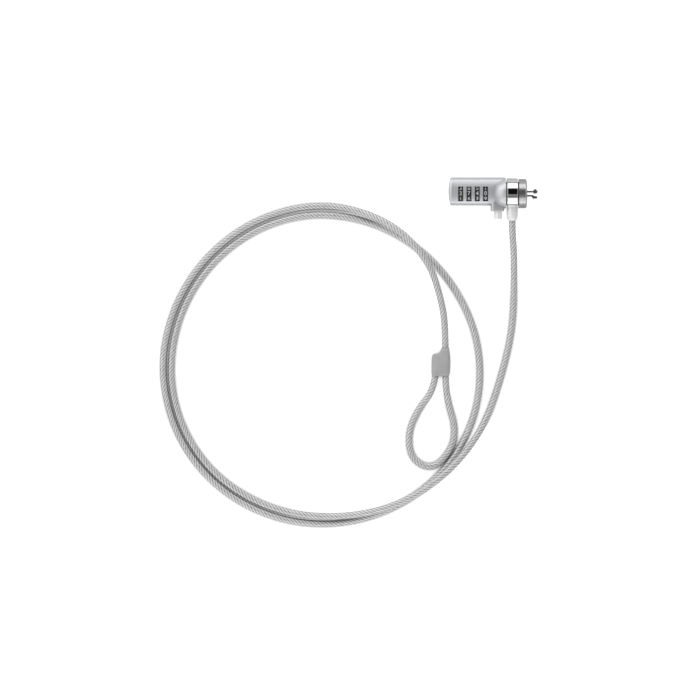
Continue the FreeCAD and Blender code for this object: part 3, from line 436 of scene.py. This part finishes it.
def rope(name, points, body, look):
    """A stranded cable as one skin, its strands laid round the line."""
    line = centreline(name + "_line", points)
    mesh = bmesh.new()
    lay = mesh.verts.layers.float_vector.new("lay")
    rings = []
    for i, (spot, (up, side)) in enumerate(zip(line, carried_frames(line))):
        travelled = i * ROPE_STEP
        turn = 2 * math.pi * travelled / ROPE_LAY
        ring = []
        for k in range(ROPE_SIDES):
            angle = 2 * math.pi * k / ROPE_SIDES
            around = ROPE_STRANDS * (angle - turn)
            crown = abs(math.cos(around / 2)) ** CROWN_POWER
            radius = CABLE_RADIUS * (1 - STRAND_DEPTH * (1 - crown))
            vert = mesh.verts.new(spot + (up * math.cos(angle) + side * math.sin(angle)) * radius)
            # The crown and the wire's phase go into the lay, from which the rope's material paints shade
            # into the grooves.
            wire = WIRE_TURNS * around / 2 + 2 * math.pi * travelled / WIRE_PITCH
            vert[lay] = (crown, wire, 0)
            ring.append(vert)
        rings.append(ring)
    skin(mesh, rings)
    obj = finish_mesh(name, mesh, look)
    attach(obj, body)
    return obj, line


def turn_point(bearing, reach, height):
    """A point of the route from its bearing round the loop's centre."""
    bearing = math.radians(bearing)
    return (LOOP_CENTRE[0] + reach * math.cos(bearing), LOOP_CENTRE[1] + reach * math.sin(bearing), height)


def cables(looks_by_name):
    """The main cable and its eye."""
    route = [*ROUTE_START, *[turn_point(*turn) for turn in ROUTE_TURNS], *ROUTE_END]
    run, run_line = rope("cable_run_rope", route, "cable", looks_by_name["rope"])
    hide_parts("cable_run")
    eye, eye_line = rope("cable_eye_rope", EYE, "cable", looks_by_name["rope"])
    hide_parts("cable_eye")


# Moulded sleeve

# Stations up the sleeve in millimetres: distance above its foot, left edge, right edge, thickness
SLEEVE_STATIONS = [
    (0.0, -5.2, 4.9, 5.6), (0.5, -5.75, 5.3, 6.9), (1.6, -6.0, 5.6, 7.6), (5.0, -6.05, 5.9, 7.8),
    (9.0, -6.0, 6.05, 7.8), (12.0, -5.85, 5.95, 7.7), (13.4, -5.55, 5.85, 7.2), (14.0, -4.7, 5.75, 6.6),
    (14.5, -1.9, 5.65, 6.2), (15.2, -0.8, 5.6, 6.0), (16.6, -0.2, 5.4, 5.8), (17.9, 0.4, 5.2, 5.4),
]
SLEEVE_SIDES = 48

# 2 would make each section an ellipse, and a larger value makes it squarer
SLEEVE_SQUARENESS = 3.2


def squared(value):
    """A cosine or sine, changed so that the section it draws is a rounded oblong."""
    return math.copysign(abs(value) ** (2 / SLEEVE_SQUARENESS), value)


def sleeve(look):
    """The moulded sleeve over the crimp, drawn as rounded sections from its foot to the neck."""
    mesh = bmesh.new()
    rings = []
    for height, left, right, thick in SLEEVE_STATIONS:
        middle = (left + right) / 2
        half = (right - left) / 2
        ring = []
        for k in range(SLEEVE_SIDES):
            angle = 2 * math.pi * k / SLEEVE_SIDES
            x = middle + half * squared(math.cos(angle))
            z = thick / 2 * squared(math.sin(angle))
            ring.append(mesh.verts.new((SLEEVE_X + x * MM, SLEEVE_BOTTOM + height * MM, STRAND_Z + z * MM)))
        rings.append(ring)
    skin(mesh, rings)
    obj = finish_mesh("loop_sleeve_skin", mesh, look)
    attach(obj, "cable")
    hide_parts("loop_sleeve")


# Dial figures

# The font's size is this many times the height of its figures
FONT_RATIO = 1.38
FIGURE_HEIGHT = 2.5 * MM
FIGURE_BOLD = 0.06 * MM
FIGURE_RISE = 0.03 * MM
FIRST_FIGURES = (2, 7, 4, 0)
WELD = 1e-7


def figure_triangles(digit):
    """A digit as triangles in its own plane, x across and y up."""
    data = bpy.data.curves.new(f"figure_{digit}", "FONT")
    data.body = str(digit)
    data.align_x = "CENTER"
    data.align_y = "CENTER"
    data.size = FIGURE_HEIGHT * FONT_RATIO
    data.offset = FIGURE_BOLD
    obj = bpy.data.objects.new(f"figure_{digit}", data)
    bpy.context.scene.collection.objects.link(obj)
    bpy.context.view_layer.update()
    mesh = bpy.data.meshes.new_from_object(obj)
    bpy.data.objects.remove(obj)
    work = bmesh.new()
    work.from_mesh(mesh)
    bpy.data.meshes.remove(mesh)
    bmesh.ops.subdivide_edges(work, edges=work.edges[:], cuts=1)
    bmesh.ops.triangulate(work, faces=work.faces[:])
    xs = [v.co.x for v in work.verts]
    ys = [v.co.y for v in work.verts]
    middle = ((min(xs) + max(xs)) / 2, (min(ys) + max(ys)) / 2)
    triangles = [[(v.co.x - middle[0], v.co.y - middle[1]) for v in f.verts] for f in work.faces]
    work.free()
    return triangles


def on_dial(dial, bearing, x, y):
    """A figure's point, wrapped round its dial at a bearing from straight up."""
    angle = bearing + y / DIAL_RADIUS
    radius = DIAL_RADIUS + FIGURE_RISE
    return (NOSE_X + DIAL_FIRST + DIAL_PITCH * dial + x, AXIS_Y + radius * math.sin(angle),
            AXIS_Z + radius * math.cos(angle))


def dial_figures(look):
    """Ten figures wrapped round each dial, one facing up."""
    shapes = [figure_triangles(digit) for digit in range(DIGITS)]
    for i in range(DIALS):
        mesh = bmesh.new()
        for step in range(DIGITS):
            bearing = 2 * math.pi * step / DIGITS
            for triangle in shapes[(FIRST_FIGURES[i] + step) % DIGITS]:
                mesh.faces.new([mesh.verts.new(on_dial(i, bearing, x, y)) for x, y in triangle])
        bmesh.ops.remove_doubles(mesh, verts=mesh.verts, dist=WELD)
        obj = finish_mesh(f"dial_{i + 1}_figures", mesh, look, smooth=False)
        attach(obj, f"dial_{i + 1}")


# Studio

FLOOR_SIZE = 12.0
FLOOR_COLOUR = 0.7

# The floor's own glow where it is seen, and where it is mirrored, with a painted shadow darkening it in the
# nooks under and round the object
FLOOR_GLOW = 0.7
FLOOR_MIRRORED = 0.05
FLOOR_PAINTED_SHADOW_REACH = 2 * MM
FLOOR_PAINTED_SHADOW_POWER = 1.5

# The sky is brighter by SKY_LEAN towards +Y, and by half of it towards -X
SKY_LEVEL = 0.67
SKY_LEAN = 0.3
SKY_LEAST = 0.006

# The sky is dark below the first height in degrees and open above the second
HORIZON_LOW = 4
HORIZON_HIGH = 9

# The dark card overhead, as angles in degrees from straight up: half its spread along X, its edges towards
# -Y and +Y, and how soft its ends and its edges are
CARD_ACROSS = 16
CARD_LOW = -8
CARD_HIGH = 38
CARD_END_SOFT = 8
CARD_EDGE_SOFT = 5

# The grey band beside the card on its -Y side, which takes this share of the sky's level away
BAND_LOW = -32
BAND_SOFT = 8
BAND_SHADE = 0.55

# The lamps: name, bearing round the object, upper and lower edge as angles from straight up, width, level
SOFT_BOXES = [
    ("upper_box", 90, 42, 84, 2.6, 0.68),
    ("lower_box", -90, 33, 83, 2.6, 0.74),
    ("low_strip", -90, 71, 84, 2.6, 1.3),
    ("left_box", 155, 30, 80, 1.8, 0.4),
]
LAMP_REACH = 1.3
LAMP_AIM = Vector((PHOTO_CENTRE[0] + 50 * MM, PHOTO_CENTRE[1], 0))


def floor():
    """White floor that keeps the shade of what lies on it, with a painted shadow added to its glow near the
    object.
    """
    mesh = bmesh.new()
    bmesh.ops.create_grid(mesh, x_segments=1, y_segments=1, size=FLOOR_SIZE / 2)
    made, nodes = material("white_floor")
    rays = nodes.add("ShaderNodeLightPath")
    soft = nodes.add("ShaderNodeBsdfDiffuse")
    soft.inputs["Color"].default_value = grey(FLOOR_COLOUR)
    glow = nodes.add("ShaderNodeEmission")
    glow.inputs["Color"].default_value = grey(1.0)
    seen = nodes.maths("MAXIMUM", rays.outputs["Is Camera Ray"], rays.outputs["Is Transmission Ray"])
    mirrored = nodes.times(rays.outputs["Is Glossy Ray"], FLOOR_MIRRORED)
    level = nodes.maths("MULTIPLY_ADD", seen, FLOOR_GLOW, mirrored)
    # Painted shadow: the glow is darker where the object lies near.
    openness = nodes.maths("POWER", nodes.occlusion(FLOOR_PAINTED_SHADOW_REACH).outputs["AO"], FLOOR_PAINTED_SHADOW_POWER)
    nodes.fill(glow.inputs["Strength"], nodes.times(level, openness))
    both = nodes.add("ShaderNodeAddShader")
    nodes.link(soft.outputs[0], both.inputs[0])
    nodes.link(glow.outputs[0], both.inputs[1])
    out = nodes.add("ShaderNodeOutputMaterial")
    nodes.link(both.outputs[0], out.inputs["Surface"])
    finish_mesh("floor", mesh, made, smooth=False)


def horizon(nodes, height):
    """0 at the horizon and 1 from a few degrees above it."""
    low = math.sin(math.radians(HORIZON_LOW))
    high = math.sin(math.radians(HORIZON_HIGH))
    return nodes.clamped(nodes.maths("DIVIDE", nodes.maths("SUBTRACT", height, low), high - low))


def within(nodes, value, low, high, soft):
    """1 between two angles in degrees, falling to 0 over a soft edge."""
    low, high, soft = (math.radians(v) for v in (low, high, soft))
    away = nodes.maths("ABSOLUTE", nodes.maths("SUBTRACT", value, (low + high) / 2))
    inside = nodes.maths("SUBTRACT", (high - low + soft) / 2, away)
    return nodes.clamped(nodes.maths("DIVIDE", inside, soft))


def sky():
    """A pale world with a dark horizon and a dark card overhead, white to the camera."""
    world = bpy.data.worlds.new("studio")
    bpy.context.scene.world = world
    nodes = Nodes(world)
    rays = nodes.add("ShaderNodeLightPath")
    parts = nodes.add("ShaderNodeSeparateXYZ")
    nodes.link(nodes.add("ShaderNodeTexCoord").outputs["Generated"], parts.inputs[0])
    x, y, z = parts.outputs
    middle = within(nodes, nodes.maths("ARCTAN2", x, z), -CARD_ACROSS, CARD_ACROSS, CARD_END_SOFT)
    along = nodes.maths("ARCTAN2", y, z)
    card = nodes.times(middle, within(nodes, along, CARD_LOW, CARD_HIGH, CARD_EDGE_SOFT))
    band = nodes.times(middle, within(nodes, along, BAND_LOW, CARD_LOW, BAND_SOFT))
    lean = nodes.maths("MULTIPLY_ADD", x, -SKY_LEAN / 2, nodes.times(y, SKY_LEAN))
    open_sky = nodes.times(nodes.maths("ADD", lean, SKY_LEVEL), horizon(nodes, z))
    tone = nodes.times(open_sky, nodes.maths("SUBTRACT", 1.0, card))
    tone = nodes.maths("SUBTRACT", tone, nodes.times(band, SKY_LEVEL * BAND_SHADE))
    air = nodes.add("ShaderNodeBackground")
    air.inputs["Color"].default_value = grey(1.0)
    nodes.fill(air.inputs["Strength"], nodes.maths("MAXIMUM", tone, SKY_LEAST))
    white = nodes.add("ShaderNodeBackground")
    white.inputs["Color"].default_value = grey(1.0)
    mix = nodes.add("ShaderNodeMixShader")
    nodes.link(rays.outputs["Is Camera Ray"], mix.inputs[0])
    nodes.link(air.outputs[0], mix.inputs[1])
    nodes.link(white.outputs[0], mix.inputs[2])
    out = nodes.add("ShaderNodeOutputWorld")
    nodes.link(mix.outputs[0], out.inputs["Surface"])


def soft_box(name, bearing, upper, lower, across, level):
    """A soft lamp at a bearing round the object, between two angles from straight up."""
    bearing = math.radians(bearing)
    tilt = math.radians(upper + lower) / 2
    data = bpy.data.lights.new(name, "AREA")
    data.shape = "RECTANGLE"
    data.size = across
    data.size_y = 2 * LAMP_REACH * math.tan(math.radians(lower - upper) / 2)
    data.energy = level * math.pi * data.size * data.size_y
    lamp = bpy.data.objects.new(name, data)
    bpy.context.scene.collection.objects.link(lamp)
    way = Vector((math.sin(tilt) * math.cos(bearing), math.sin(tilt) * math.sin(bearing), math.cos(tilt)))
    lamp.location = LAMP_AIM + way * LAMP_REACH
    lamp.rotation_euler = (-way).to_track_quat("-Z", "Y").to_euler()


def main():
    camera()
    made = looks()
    sleeve(made["sleeve"])
    cables(made)
    dress_nodes(made)
    dial_figures(made["figures"])
    floor()
    sky()
    for box in SOFT_BOXES:
        soft_box(*box)
    bpy.context.scene.view_settings.view_transform = "Standard"


main()
